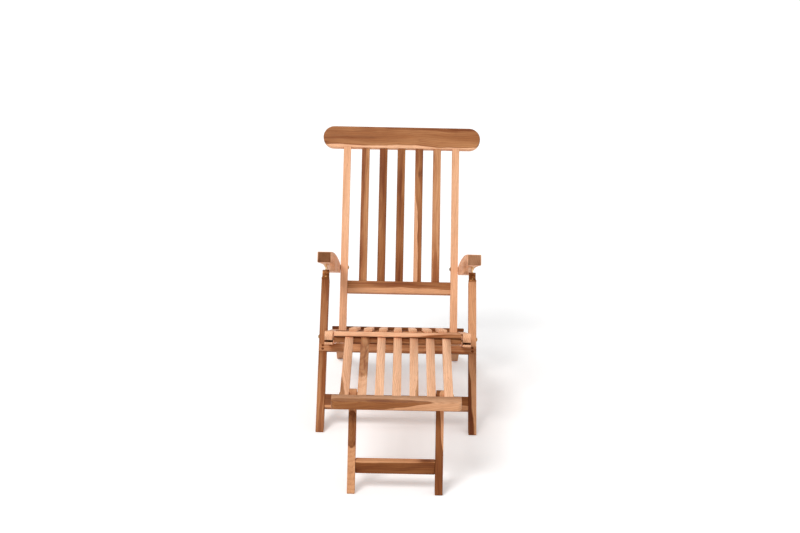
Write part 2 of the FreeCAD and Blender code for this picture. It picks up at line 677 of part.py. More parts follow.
pair("footrest_bearer", bearer)
front_rail = plank(
    -footrest_front_rail_width / 2, footrest_front_rail_width / 2, footrest_pivot, rest_outward, rest_upward,
    slat_end, slat_end + footrest_front_rail_depth, front_rail_corner[1], footrest_top_above_pivot,
)
corner_edges = [
    e for e in front_rail.Edges
    if is_along(e, FreeCAD.Vector(0, rest_upward[0], rest_upward[1]))
    and e.CenterOfMass.y < footrest_pivot[0] - slat_end - footrest_front_rail_depth / 2
]
front_rail = front_rail.makeFillet(footrest_front_rail_depth * 0.28, corner_edges)
lip_edges = []
for face in front_rail.Faces:
    if abs(abs(face.normalAt(0, 0).dot(FreeCAD.Vector(0, rest_upward[0], rest_upward[1]))) - 1) < 1e-6:
        lip_edges += [e for e in face.Edges if e.CenterOfMass.y < footrest_pivot[0] - slat_end - 2]
front_rail = front_rail.makeFillet(edge_ease, lip_edges)
parts["footrest_front_rail"] = front_rail

# Footrest legs: round-topped bars that swing between the outer slats, joined by a crossbar
rest_leg_outside = bearer_inside - footrest_leg_side_gap
rest_leg_inside = rest_leg_outside - footrest_leg_thickness
foot_half = footrest_leg_depth / 2
foot_upward = (-foot_downward[0], -foot_downward[1])
rest_leg = standing_bar(
    rest_leg_inside, rest_leg_outside, footrest_leg_pivot, foot_upward, foot_forward, 0, foot_half, edge_ease * 2,
)
rest_leg = rest_leg.fuse(rod(rest_leg_inside, rest_leg_outside, footrest_leg_pivot, foot_half)).removeSplitter()
rest_leg = eased_along(rest_leg, edge_ease, (0, foot_downward[0], foot_downward[1]))
rest_leg = rest_leg.cut(rod(rest_leg_inside - 1, rest_leg_outside + 1, footrest_leg_pivot, bolt_hole_radius))
pair("footrest_leg", rest_leg)
bar_height = footrest_crossbar_above_floor + footrest_crossbar_height / 2
bar_middle = step(
    footrest_leg_pivot, ((footrest_leg_pivot[1] - bar_height) / -foot_downward[1], foot_downward)
)
crossbar = plank(
    -rest_leg_inside, rest_leg_inside, bar_middle, (1.0, 0.0), (0.0, 1.0),
    -footrest_crossbar_depth / 2, footrest_crossbar_depth / 2,
    -footrest_crossbar_height / 2, footrest_crossbar_height / 2,
)
parts["footrest_crossbar"] = eased_along(crossbar, edge_ease * 1.5, (1, 0, 0))
rest_bolt = rod(rest_leg_inside - bolt_shoulder, bearer_outside, footrest_leg_pivot, bolt_radius)
for x_face, side in ((rest_leg_inside - bolt_shoulder, -1), (bearer_outside, 1)):
    rest_bolt = rest_bolt.fuse(bolt_head(x_face, footrest_leg_pivot, side))
parts["footrest_leg_bolts"] = both_sides(rest_bolt.removeSplitter())
for i in (1, 2, footrest_slat_count - 1, footrest_slat_count):
    name = "footrest_slat_%d" % i
    parts[name] = parts[name].cut(parts["footrest_leg_bolts"])

# Bring the middle of the whole chair over the origin, then write one file for each piece
whole = Part.makeCompound(list(parts.values())).optimalBoundingBox()
to_middle = -(whole.YMin + whole.YMax) / 2
os.makedirs("parts", exist_ok=True)
for name, shape in sorted(parts.items()):
    shape.translate(FreeCAD.Vector(0, to_middle, 0))
    shape.exportStep("parts/" + name + ".step")
    print("%-24s valid=%s solids=%d volume=%.0f" % (name, shape.isValid(), len(shape.Solids), shape.Volume))
print("nodes", len(parts), "size", whole.XLength, whole.YLength, whole.ZLength, "floor", whole.ZMin)
second_notch, third_notch = (arm_point(place, 0) for place in notch_places[1:3])
places = {
    "second_notch": second_notch, "third_notch": third_notch, "front_leg_pivot": front_leg_pivot,
    "back_pivot": back_pivot, "arm_pivot": arm_pivot, "rest_pin": rest_pin, "footrest_pivot": footrest_pivot,
    "footrest_leg_pivot": footrest_leg_pivot, "rail_front": rail_front,
}
for name, point in places.items():
    print("%-20s y=%.3f z=%.3f" % (name, point[0] + to_middle, point[1]))
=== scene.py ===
# %% [markdown]
# # A teak steamer deck chair, dressed for a portrait
# The chair's frame comes from a imported model: every board, bolt and pin is already there, at its real size,
# and each piece that this file makes is parented to an empty named for its body. This file gives the pieces
# their finish.
# Straight boards are worked out again as smooth numpy surfaces, boards with notches and laps are taken over
# with their shape, and one node group grows the same teak log that all of them were sawn from.

# %% Load the frame
import math
from collections import namedtuple

import bpy
import bmesh
import numpy as np
from mathutils import Matrix, Vector


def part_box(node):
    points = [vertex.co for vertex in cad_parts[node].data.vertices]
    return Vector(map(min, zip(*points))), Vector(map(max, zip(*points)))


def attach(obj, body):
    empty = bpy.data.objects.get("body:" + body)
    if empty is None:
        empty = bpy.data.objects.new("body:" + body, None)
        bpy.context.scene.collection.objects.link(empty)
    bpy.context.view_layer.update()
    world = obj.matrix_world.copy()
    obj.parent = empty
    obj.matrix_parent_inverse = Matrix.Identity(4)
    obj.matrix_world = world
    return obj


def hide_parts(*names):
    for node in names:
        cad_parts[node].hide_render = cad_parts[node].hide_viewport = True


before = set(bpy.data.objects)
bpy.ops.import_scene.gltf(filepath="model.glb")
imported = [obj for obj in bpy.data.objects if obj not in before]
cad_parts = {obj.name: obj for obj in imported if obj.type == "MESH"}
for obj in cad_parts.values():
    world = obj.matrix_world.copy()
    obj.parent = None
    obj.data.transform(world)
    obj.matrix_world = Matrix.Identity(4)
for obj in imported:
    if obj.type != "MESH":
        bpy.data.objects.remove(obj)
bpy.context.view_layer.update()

# %% [markdown]
# The photograph looks at the chair from its foot end, a little from above, through a long lens. A long lens
# is the honest choice here: a wide one placed nearer would make the footrest too large for the headrest.
# The camera's place comes from a fit of the chair's own lines, so it isn't round numbers. It looks straight
# along the chair and a little down, and a small roll leans it to one side, as the photograph's own camera
# leaned.

# %% Camera
CAMERA_PLACE = (0.0028, -5.7296, 2.1007)
PITCH, ROLL = math.radians(15.125), math.radians(1.13)

view = bpy.data.objects.new("portrait_camera", bpy.data.cameras.new("portrait_camera"))
bpy.context.collection.objects.link(view)
view.data.sensor_width = 36.0
view.data.lens = 76.5
view.data.clip_end = 60.0
ahead = Vector((0.0, math.cos(PITCH), -math.sin(PITCH)))
level_right = Vector((1.0, 0.0, 0.0))
level_above = level_right.cross(ahead)
right = level_right * math.cos(ROLL) + level_above * math.sin(ROLL)
above = level_above * math.cos(ROLL) - level_right * math.sin(ROLL)
turn = Matrix((right, above, -ahead)).transposed().to_4x4()
view.matrix_world = Matrix.Translation(CAMERA_PLACE) @ turn
bpy.context.scene.camera = view
bpy.context.scene.view_settings.view_transform = "Standard"
print("camera at", tuple(round(v, 3) for v in view.location), "lens", view.data.lens)

# %% [markdown]
# A node tree reads best when each line makes one node and says what feeds it. These helpers do that. Inputs
# are given by name, or as i0, i1 and so on by their place, and an input may be a plain value or the output
# of an earlier node.

# %% Helpers for node trees


def feed(tree, socket, value):
    """Links a socket to an earlier node's output, or sets it to a plain value."""
    if isinstance(value, bpy.types.NodeSocket):
        tree.links.new(value, socket)
    else:
        socket.default_value = value


def wire(tree, kind, settings=None, **inputs):
    """Adds one node, sets its properties, and fills its inputs with values or links."""
    node = tree.nodes.new(kind)
    for key, value in (settings or {}).items():
        setattr(node, key, value)
    for key, value in inputs.items():
        by_place = key[0] == "i" and key[1:].isdigit()
        feed(tree, node.inputs[int(key[1:]) if by_place else key.replace("_", " ")], value)
    return node


def maths(tree, operation, *values):
    """One arithmetic node: the operation's name, then its values in order."""
    inputs = {"i%d" % place: value for place, value in enumerate(values)}
    return wire(tree, "ShaderNodeMath", {"operation": operation}, **inputs).outputs[0]


def vector_maths(tree, operation, *values):
    """One node of vector arithmetic. LENGTH gives a plain number, every other operation a vector."""
    inputs = {"i%d" % place: value for place, value in enumerate(values)}
    node = wire(tree, "ShaderNodeVectorMath", {"operation": operation}, **inputs)
    return node.outputs["Value" if operation == "LENGTH" else "Vector"]


def spread(tree, value, low, high, to_low=0.0, to_high=1.0, kind="SMOOTHSTEP"):
    """A value between low and high, spread to another range, and held at that range's ends outside."""
    reach = dict(From_Min=low, From_Max=high, To_Min=to_low, To_Max=to_high)
    return wire(tree, "ShaderNodeMapRange", {"interpolation_type": kind}, Value=value, **reach).outputs[0]


# %% [markdown]
# Colours need three more helpers. A colour can lie between two others, and it can be darkened by
# multiplying it with a tint. Numbers read off a screen aren't what a shader wants, because a screen's steps
# are finer in the dark: the helper called painted turns them into amounts of light.

# %% Helpers for colours


def mixed(tree, share, first, second, blend="MIX"):
    """A colour between two others; share 0 gives the first."""
    node = wire(tree, "ShaderNodeMix", {"data_type": "RGBA", "blend_type": blend})
    for place, value in ((0, share), (6, first), (7, second)):
        feed(tree, node.inputs[place], value)
    return node.outputs[2]


def tinted(tree, colour, share, tint):
    """A colour multiplied by a tint, to the given share."""
    return mixed(tree, share, colour, mixed(tree, 1.0, colour, tint, "MULTIPLY"))


def grey(tree, level):
    """A grey of the given level, as a colour."""
    return wire(tree, "ShaderNodeCombineColor", None, Red=level, Green=level, Blue=level).outputs[0]


def painted(red, green, blue):
    """A colour as it is read off a screen, 0 to 255, turned into the linear values that a shader wants."""
    def linear(part):
        part /= 255.0
        return part / 12.92 if part <= 0.04045 else ((part + 0.055) / 1.055) ** 2.4
    return (linear(red), linear(green), linear(blue), 1.0)


WHITE = painted(255, 255, 255)
print("a screen's middle grey sends", round(painted(128, 128, 128)[0], 3), "of white's light")

# %% [markdown]
# Every material starts in the same way: its patterns lie in the object's own coordinates, so that they stay
# on the piece when its body moves.

# %% A new material


def new_material(name):
    """A material, its tree, its shader, and the object's own coordinates."""
    material = bpy.data.materials.new(name)
    material.use_nodes = True
    tree = material.node_tree
    where = tree.nodes.new("ShaderNodeTexCoord").outputs["Object"]
    return material, tree, tree.nodes["Principled BSDF"], where


# %% [markdown]
# ## The teak log
# Real teak has four things that the eye looks for. The heartwood at the middle of the trunk is brown, and
# the sapwood under the bark is pale, so many boards carry a light strip or a slanting border. Growth rings
# run round the trunk and show as lines where a board is sawn along it. Broader smoky streaks of dark oil
# follow the grain, and long fine pores run with it.
# All of them are made once, in the trunk's own space: X and Z go outwards from its heart, Y runs up the
# trunk. A board is then only a place in the trunk, and its lines stay true on every face, its ends
# included.

# %% The log's node group
teak = bpy.data.node_groups.new("teak_log", "ShaderNodeTree")
for direction, names_and_kinds in (
    ("INPUT", (("Place", "Vector"), ("Heartwood depth", "Float"), ("Sapwood warmth", "Float"),
               ("Sapwood from", "Float"), ("Sawn", "Float"))),
    ("OUTPUT", (("Colour", "Color"), ("Roughness", "Float"), ("Normal", "Vector"))),
):
    for name, kind in names_and_kinds:
        teak.interface.new_socket(name, in_out=direction, socket_type="NodeSocket" + kind)
given = teak.nodes.new("NodeGroupInput")
# The last input darkens end grain and also paints the shade inside slots.
place, depth, warmth, sapwood_from, sawn = (given.outputs[i] for i in range(5))
print("teak group inputs:", [socket.name for socket in given.outputs if socket.name])

# %% [markdown]
# A trunk is never quite straight, so a slow noise sways the place before anything is measured. The distance
# from the heart then gives the growth rings: it is multiplied by the number of rings in a metre, and the
# part after the point says how far the year has come. A ring darkens slowly and ends at once, as late wood
# does.
# The streaks are noises drawn out along the grain, from broad smoke to threads as fine as a hair. The
# threads also fray the border between heartwood and sapwood.

# %% Patterns in the trunk
SWAY, THREADS_FRAY, BORDER_BLUR = 0.030, 0.005, 0.0014  # metres
RINGS_PER_METRE, RINGS_ASTRAY = 165.0, 3.0
RING_DARKENS, RING_ENDS = 0.30, 0.90  # shares of a year's growth


def streaks(source, along_grain, scale, detail, output="Fac"):
    """Noise drawn out along the grain, which changes along_grain times up the trunk for once across it."""
    drawn = vector_maths(teak, "MULTIPLY", source, (1.0, along_grain, 1.0))
    noise = wire(teak, "ShaderNodeTexNoise", None, Vector=drawn, Scale=scale, Detail=detail, Roughness=0.55)
    return noise.outputs[output]


sway = streaks(place, along_grain=0.75, scale=6.0, detail=2.0, output="Color")
sway = vector_maths(teak, "SUBTRACT", sway, (0.5, 0.5, 0.5))
swayed = vector_maths(teak, "ADD", place, vector_maths(teak, "MULTIPLY", sway, (SWAY, 0.0, SWAY)))
from_heart = vector_maths(teak, "LENGTH", vector_maths(teak, "MULTIPLY", swayed, (1.0, 0.0, 1.0)))

astray = maths(teak, "MULTIPLY", streaks(swayed, along_grain=0.10, scale=20.0, detail=2.0), RINGS_ASTRAY)
year = maths(teak, "FRACT", maths(teak, "MULTIPLY_ADD", from_heart, RINGS_PER_METRE, astray))
late_wood = maths(teak, "MULTIPLY", spread(teak, year, RING_DARKENS, RING_ENDS),
                  spread(teak, year, RING_ENDS, 1.0, 1.0, 0.0))

smoke = spread(teak, streaks(swayed, along_grain=0.036, scale=56.0, detail=2.5), low=0.43, high=0.66)
broad = spread(teak, streaks(swayed, along_grain=0.10, scale=24.0, detail=2.0), low=0.36, high=0.64)
threads = streaks(swayed, along_grain=0.020, scale=330.0, detail=3.0)
pores = spread(teak, streaks(place, along_grain=0.045, scale=900.0, detail=1.0), low=0.60, high=0.72)

frayed = maths(teak, "MULTIPLY_ADD", maths(teak, "SUBTRACT", threads, 0.5), THREADS_FRAY, from_heart)
sap = spread(teak, maths(teak, "SUBTRACT", frayed, sapwood_from), -BORDER_BLUR, BORDER_BLUR)
print("teak group, patterns:", len(teak.nodes), "nodes")

# %% [markdown]
# The colours are read off the wood as it looks in full light. Heartwood goes from tan through a warm brown
# to a dark one, sapwood from a pale peach to tan. Broad streaks, smoke, rings and pores then darken what is
# there by multiplying it with a warm brown, because oil in wood takes away more blue than red. The threads
# only make it a little lighter and darker.
# End grain drinks oil, so it is darker than planed wood, and the inside of a slot is darkened further as
# painted shade. A face says by its mark how much of that it shows: 0 is planed, 2 is the darkest, the painted
# shade inside a slot, and the ends of most boards lie between.

# %% The colours of teak
HEART_TAN, HEART_BROWN, HEART_DARK = painted(212, 158, 114), painted(172, 116, 71), painted(127, 72, 29)
SAP_PEACH, SAP_TAN = painted(250, 198, 159), painted(208, 153, 110)
BROAD_IN_HEARTWOOD, BROAD_IN_SAPWOOD = painted(204, 180, 156), painted(238, 224, 214)
SMOKE_TINT, RING_TINT, PORE_TINT = painted(188, 152, 118), painted(208, 174, 148), painted(150, 96, 62)
# The darkest brown serves end grain and the painted shade inside slots, which take the full mark.
SAWN_AND_SLOT_SHADE_DARK, SHADED_SLOT_MARK = painted(104, 58, 20), 2.0


def by_wood(pattern, in_heartwood, in_sapwood):
    """A pattern's share: one strength in heartwood, another in sapwood."""
    return maths(teak, "MULTIPLY", pattern, spread(teak, sap, 0.0, 1.0, in_heartwood, in_sapwood, "LINEAR"))


heartwood = mixed(teak, spread(teak, depth, 0.0, 0.5, kind="LINEAR"), HEART_TAN, HEART_BROWN)
heartwood = mixed(teak, spread(teak, depth, 0.5, 1.0, kind="LINEAR"), heartwood, HEART_DARK)
heartwood = tinted(teak, heartwood, maths(teak, "MULTIPLY", broad, 0.75), BROAD_IN_HEARTWOOD)
sapwood = mixed(teak, warmth, SAP_PEACH, SAP_TAN)
sapwood = tinted(teak, sapwood, maths(teak, "MULTIPLY", broad, 0.55), BROAD_IN_SAPWOOD)
wood = mixed(teak, sap, heartwood, sapwood)
wood = tinted(teak, wood, by_wood(smoke, in_heartwood=0.85, in_sapwood=0.22), SMOKE_TINT)
wood = tinted(teak, wood, by_wood(late_wood, in_heartwood=0.40, in_sapwood=0.30), RING_TINT)
light = spread(teak, threads, low=0.25, high=0.75, to_low=0.92, to_high=1.16, kind="LINEAR")
wood = mixed(teak, 1.0, wood, grey(teak, light), "MULTIPLY")
wood = tinted(teak, wood, maths(teak, "MULTIPLY", pores, 0.30), PORE_TINT)
# End grain is darkened, and faces inside a slot get painted shade, towards the same dark brown.
end_grain_and_slot_shade_share = spread(teak, sawn, 0.0, SHADED_SLOT_MARK, kind="LINEAR")
less_in_streaks = spread(teak, broad, 0.0, 1.0, to_low=1.0, to_high=0.93, kind="LINEAR")
wood = mixed(teak, maths(teak, "MULTIPLY", end_grain_and_slot_shade_share, less_in_streaks), wood, SAWN_AND_SLOT_SHADE_DARK)
print("teak group, with colours:", len(teak.nodes), "nodes")

# %% [markdown]
# Oiled teak is neither matt nor glossy. The threads change its roughness, and together with the pores they
# make the faint relief that keeps its highlights from looking like plastic.

# %% The feel of teak
rough = spread(teak, threads, low=0.2, high=0.8, to_low=0.46, to_high=0.62, kind="LINEAR")
relief = maths(teak, "SUBTRACT", threads, maths(teak, "MULTIPLY", pores, 0.6))
bump = wire(teak, "ShaderNodeBump", None, Strength=0.35, Distance=0.0004, Height=relief).outputs[0]
result = teak.nodes.new("NodeGroupOutput")
for socket, source in zip(result.inputs, (wood, rough, bump)):
    teak.links.new(source, socket)
print("teak group, whole:", len(teak.nodes), "nodes")

# %% [markdown]
# A knot is the foot of a branch: a small dark eye, round which the rings bulge. Near it the place is pushed
# outwards, so that the rings bend round it by themselves. A knot is longer up the trunk than across it, so
# distances along the grain count for less.

# %% A knot
KNOT_LOOK = painted(96, 52, 24)
KNOT_DISTANCE = (1.0, 0.38, 0.5)
EYE_SHARE = 0.72
EYE_CORE, BULGE_REACH, BULGE_PUSH = 0.25, 2.6, 1.3  # in knot sizes


def knotted(tree, where, centre, size):
    """The place with the rings bent round a knot, and the share of the knot's dark eye. size is the eye's
    radius across the grain, in metres."""
    away = vector_maths(tree, "MULTIPLY", vector_maths(tree, "SUBTRACT", where, centre), KNOT_DISTANCE)
    reach = vector_maths(tree, "LENGTH", away)
    eye = spread(tree, reach, size * EYE_CORE, size, EYE_SHARE, 0.0)
    bulge = spread(tree, reach, 0.0, size * BULGE_REACH, size * BULGE_PUSH, 0.0)
    push = wire(tree, "ShaderNodeCombineXYZ", None, X=bulge).outputs[0]
    return vector_maths(tree, "ADD", where, push), eye


print("knot colour:", [round(part, 3) for part in KNOT_LOOK])

# %% [markdown]
# Every board needs its own cut of the log. The board's length, width and thickness directions make a small
# rotation matrix, which a Mapping node applies to Object coordinates. Where the board lies off the heart
# decides how curved its rings are. The radius at which sapwood begins is worked out from where its border
# should cross the board. Turning the board a little in the trunk makes the border run at a slant, or end in
# a rounded tongue.

# %% A cut of teak
SEEDS_APART = 1.37  # metres up the trunk for each 1 of seed
ONLY_SAPWOOD, ONLY_HEARTWOOD = 0.0, 5.0  # radii in metres, inside and outside every board


def teak_cut(name, along, across, middle, heart=(0.07, 0.02), slant=0.0, dip=0.0, wood="heart", edge=None,
             sapwood=None, depth=0.4, warmth=0.2, seed=0.0, knot=None):
    """A material for one board. along and across are its directions and middle a point on it. heart is the
    board's place as (across, through) in metres from the trunk's heart, and seed its place up the trunk. wood
    is heart or sap, unless edge gives where across the board the sapwood begins, or sapwood its radius. slant
    and dip turn the board in the trunk, in degrees. knot is (across, along, size) in metres."""
    along, across = Vector(along).normalized(), Vector(across).normalized()
    turned = Matrix.Rotation(math.radians(slant), 3, "Z") @ Matrix.Rotation(math.radians(dip), 3, "X")
    lay = turned @ Matrix((across, along, across.cross(along)))
    in_trunk = Vector((heart[0], seed * SEEDS_APART, heart[1]))
    shift = in_trunk - lay @ Vector(middle)
    if edge is not None:
        sapwood = math.hypot(heart[0] + edge, heart[1])
    elif sapwood is None:
        sapwood = ONLY_SAPWOOD if wood == "sap" else ONLY_HEARTWOOD
    material, tree, shader, where = new_material("teak_" + name)
    angles = lay.to_euler("XYZ")
    where = wire(tree, "ShaderNodeMapping", None, Vector=where, Location=shift, Rotation=angles).outputs[0]
    if knot:
        where, eye = knotted(tree, where, turned @ Vector((knot[0], knot[1], 0.0)) + in_trunk, knot[2])
    # The face marks carry end grain and the painted shade inside slots.
    marks = wire(tree, "ShaderNodeAttribute", {"attribute_type": "GEOMETRY", "attribute_name": "sawn"})
    log = wire(tree, "ShaderNodeGroup", {"node_tree": teak}, Place=where, Heartwood_depth=depth,
               Sapwood_warmth=warmth, Sapwood_from=sapwood, Sawn=marks.outputs["Fac"])
    colour = mixed(tree, eye, log.outputs["Colour"], KNOT_LOOK) if knot else log.outputs["Colour"]
    tree.links.new(colour, shader.inputs["Base Color"])
    tree.links.new(log.outputs["Roughness"], shader.inputs["Roughness"])
    tree.links.new(log.outputs["Normal"], shader.inputs["Normal"])
    shader.inputs["Specular IOR Level"].default_value = 0.16
    return material


print("two seeds that differ by 1 are cut", SEEDS_APART, "m apart")

# %% [markdown]
# ## The brass and bronze
# The rest pins are turned brass, worn bright. The caps on the legs and the bolts have gone dark, with
# lighter metal where hands and washers rub. Noise in the object's own space gives both their patches, and
# nothing more is needed at this size.

# %% Metals
DULL_IS_ROUGHER = 0.14
PATCHES_FROM, PATCHES_TO = 0.42, 0.66
GRAIN_FINER = 9.0  # the metal's fine grain, times finer than its patches


def metal(name, clean, dull, roughness, scale):
    """Worn metal: clean where the noise is high, dull elsewhere, and rougher where it is dull."""
    material, tree, shader, where = new_material(name)
    patches = wire(tree, "ShaderNodeTexNoise", None, Vector=where, Scale=scale, Detail=4.0, Roughness=0.6)
    wear = spread(tree, patches.outputs[0], PATCHES_FROM, PATCHES_TO)
    tree.links.new(mixed(tree, wear, dull, clean), shader.inputs["Base Color"])
    level = spread(tree, wear, 0.0, 1.0, roughness + DULL_IS_ROUGHER, roughness, "LINEAR")
    tree.links.new(level, shader.inputs["Roughness"])
    fine = wire(tree, "ShaderNodeTexNoise", None, Vector=where, Scale=scale * GRAIN_FINER, Detail=2.0)
    bump = wire(tree, "ShaderNodeBump", None, Strength=0.2, Distance=0.0002, Height=fine.outputs[0])
    tree.links.new(bump.outputs[0], shader.inputs["Normal"])
    shader.inputs["Metallic"].default_value = 1.0
    return material


brass = metal("turned_brass", painted(250, 226, 184), painted(226, 184, 130), 0.30, 60.0)
bronze = metal("dark_bronze", painted(178, 128, 82), painted(112, 68, 36), 0.42, 45.0)
old_brass = metal("aged_brass", painted(196, 156, 104), painted(126, 90, 56), 0.34, 80.0)
print("metals:", [finish.name for finish in (brass, bronze, old_brass)])

# %% [markdown]
# ## Boards
# Most of the chair is straight boards with softly milled edges. The frame already holds each one at its
# true size, so its length, width and thickness are measured along the board's own directions, and the board
# is worked out again as one smooth surface.

# %% Measure a board


def points_of(mesh):
    """All corner points of a mesh, as an array of rows."""
    points = np.empty(len(mesh.vertices) * 3)
    mesh.vertices.foreach_get("co", points)
    return points.reshape(-1, 3)


def spans(node, along, across):
    """The node's directions as rows, and its lowest and highest reach along each of them."""
    along = np.asarray(along, float) / np.linalg.norm(along)
    across = np.asarray(across, float) / np.linalg.norm(across)
    ways = np.stack([along, across, np.cross(across, along)])
    reach = points_of(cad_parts[node].data) @ ways.T
    return ways, reach.min(axis=0), reach.max(axis=0)


def middle_of(node):
    """The middle of a node's box."""
    low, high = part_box(node)
    return (np.asarray(low) + np.asarray(high)) / 2


print("headrest's middle:", middle_of("headrest").round(3))

# %% [markdown]
# The surface of a board is a rounded rectangle carried along the length. Near both ends the rectangle draws
# in along a quarter circle, so that the end edges are as soft as the long ones. A sharp box would catch no
# light on its edges, and a Bevel modifier would need the same numbers again.

# %% A milled board
SOFT = 0.0022  # metres, the radius of a milled edge
CORNER_STEPS = 5


def grid_faces(rows, columns):
    """Four-cornered faces of a grid whose columns close into a ring."""
    r, c = np.meshgrid(np.arange(rows - 1), np.arange(columns), indexing="ij")
    a, b = r * columns + c, r * columns + (c + 1) % columns
    return np.stack([a, b, b + columns, a + columns], axis=-1).reshape(-1, 4)


def milled_board(node, along, across, soft):
    """A board over the node's own spans.
    Section: a rectangle of half sizes w, t with corners of radius r; each corner turns through a quarter
    circle, so a point is (+-(w - r) + r cos a, +-(t - r) + r sin a). Along the length the section is drawn in
    by e = r - sqrt(r*r - (r - d)*(r - d)) at a distance d below r from an end."""
    ways, low, high = spans(node, along, across)
    half_w, half_t = (high[1] - low[1]) / 2, (high[2] - low[2]) / 2
    angle = np.linspace(0.0, math.pi / 2, CORNER_STEPS)
    from_end = soft * (1 - np.cos(angle))
    drawn_in = soft - np.sqrt(np.maximum(soft**2 - (soft - from_end) ** 2, 0.0))
    drawn_in = np.concatenate([drawn_in, drawn_in[::-1]])
    runs = np.concatenate([low[0] + from_end, high[0] - from_end[::-1]])
    section = []
    for k, (side, face) in enumerate(((1, 1), (-1, 1), (-1, -1), (1, -1))):
        turn = angle + k * math.pi / 2
        across_corner = side * (half_w - soft) + soft * np.cos(turn)
        through_corner = face * (half_t - soft) + soft * np.sin(turn)
        section.append(np.stack([across_corner, through_corner], 1))
    section = np.concatenate(section)
    rings = section[None] - np.sign(section)[None] * drawn_in[:, None, None] + (low[1:] + high[1:]) / 2
    rows, columns = rings.shape[:2]
    points = np.concatenate([np.broadcast_to(runs[:, None, None], (rows, columns, 1)), rings], axis=-1)
    faces = grid_faces(rows, columns).tolist()
    faces.append(list(range(columns))[::-1])
    faces.append(list(range((rows - 1) * columns, rows * columns)))
    return points.reshape(-1, 3) @ ways, faces


print("points in a milled board:", 2 * CORNER_STEPS * 4 * CORNER_STEPS)

# %% [markdown]
# The log's material asks each face for its mark. A face is an end when it looks along the grain, and is
# darkened as end grain. It is inside a slot or a housing when its middle lies well within the board, both
# along its length and through its thickness, and it doesn't look sideways; such a face gets the full mark,
# which paints the shade that falls inside. The marks are a face attribute of the mesh, so they fold and
# slide with the piece.

# %% Marks for sawn faces and painted slot shade
Grain = namedtuple("Grain", "along across slotted end_dark")
END_FROM, END_RANGE, LOOKS_SIDEWAYS = 0.80, 0.15, 0.5  # how far a face's normal follows a direction
WITHIN_LENGTH, WITHIN_THICKNESS = 0.0075, 0.003  # metres from the board's outside


def mark_end_grain_and_slot_shade(mesh, grain):
    """Marks each face: end_dark where it is cut across the grain, the full mark as painted shade inside a
    slot, otherwise 0.
    """
    normals, middles = np.empty(len(mesh.polygons) * 3), np.empty(len(mesh.polygons) * 3)
    mesh.polygons.foreach_get("normal", normals)
    mesh.polygons.foreach_get("center", middles)
    normals, middles = normals.reshape(-1, 3), middles.reshape(-1, 3)
    along, through = np.asarray(grain.along), np.cross(grain.across, grain.along)
    marks = grain.end_dark * np.clip((np.abs(normals @ along) - END_FROM) / END_RANGE, 0.0, 1.0)
    if grain.slotted:
        inside = np.abs(normals @ np.asarray(grain.across)) < LOOKS_SIDEWAYS
        for way, margin in ((along, WITHIN_LENGTH), (through, WITHIN_THICKNESS)):
            reach = points_of(mesh) @ way
            inside &= (middles @ way > reach.min() + margin) & (middles @ way < reach.max() - margin)
        # Faces inside a slot take the full mark: painted shade where little light reaches.
        marks = np.where(inside, SHADED_SLOT_MARK, marks)
    mesh.attributes.new("sawn", "FLOAT", "FACE").data.foreach_set("value", marks)


# %% [markdown]
# Every piece goes the same way from a mesh to its place on the chair. Double points are merged first, then
# all faces are turned outwards, and the shading is smooth except over folds that are meant to be sharp. The
# The piece rides on its body, takes the place of the frame's node, and gets its own material.

# %% From a mesh to a piece
made = []
SAME_POINT = 2e-6  # metres


def finish_piece(name, mesh, material, body, node, sharp, grain=None):
    """Merges doubles, turns all faces outwards, shades smooth but for sharp folds, and replaces the node."""
    work = bmesh.new()
    work.from_mesh(mesh)
    bmesh.ops.remove_doubles(work, verts=work.verts, dist=SAME_POINT)
    bmesh.ops.recalc_face_normals(work, faces=work.faces)
    work.to_mesh(mesh)
    work.free()
    mesh.polygons.foreach_set("use_smooth", np.ones(len(mesh.polygons), dtype=bool))
    mesh.set_sharp_from_angle(angle=math.radians(sharp))
    if grain:
        mark_end_grain_and_slot_shade(mesh, grain)
    mesh.materials.clear()
    mesh.materials.append(material)
    piece = bpy.data.objects.new(name, mesh)
    bpy.context.collection.objects.link(piece)
    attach(piece, body)
    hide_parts(node)
    made.append(piece)


# %% [markdown]
# There are two kinds of board. A straight one gets a worked-out surface, and one that is cut and lapped
# keeps a copy of the node's own mesh. Each kind of surface has its own angle, in degrees, from which a fold
# counts as sharp.

# %% Two kinds of board
SHARP_MILLED, SHARP_TAKEN, SHARP_METAL = 40.0, 28.0, 35.0
END_DARK = 0.6


def as_piece(name, points, faces, material, body, node, grain):
    """Puts a worked-out surface into a mesh and makes it a piece."""
    mesh = bpy.data.meshes.new(name)
    mesh.from_pydata(points.tolist(), [], faces)
    finish_piece(name, mesh, material, body, node, SHARP_MILLED, grain)


def taken_over(name, node, material, body, sharp=SHARP_TAKEN, grain=None):
    """Makes a piece of a copy of the node's own mesh."""
    finish_piece(name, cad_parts[node].data.copy(), material, body, node, sharp, grain)


def board(name, body, along, across, soft=SOFT, end_dark=END_DARK, **choice):
    """A straight board: its numpy surface and its own cut of teak."""
    material = teak_cut(name, along, across, middle_of(name), **choice)
    points, faces = milled_board(name, along, across, soft)
    as_piece(name, points, faces, material, body, name, Grain(along, across, False, end_dark))


def cut_board(name, body, along, across, slotted=False, end_dark=END_DARK, **choice):
    """A board with laps, notches or round ends, kept in the frame's shape."""
    material = teak_cut(name, along, across, middle_of(name), **choice)
    taken_over(name, name, material, body, grain=Grain(along, across, slotted, end_dark))


# %% [markdown]
# The side view has seven directions: the seat's slope, the back's lean, the lean of the front legs and of
# the rear legs, the slope of the footrest, the lean of its legs, and the arms' slope. Each is an angle
# above the floor, and a board's length follows one of them or runs straight across the chair.

# %% Directions of the boards


def slope(degrees):
    """A direction in the side view, at an angle above the way to the head end."""
    return (0.0, math.cos(math.radians(degrees)), math.sin(math.radians(degrees)))


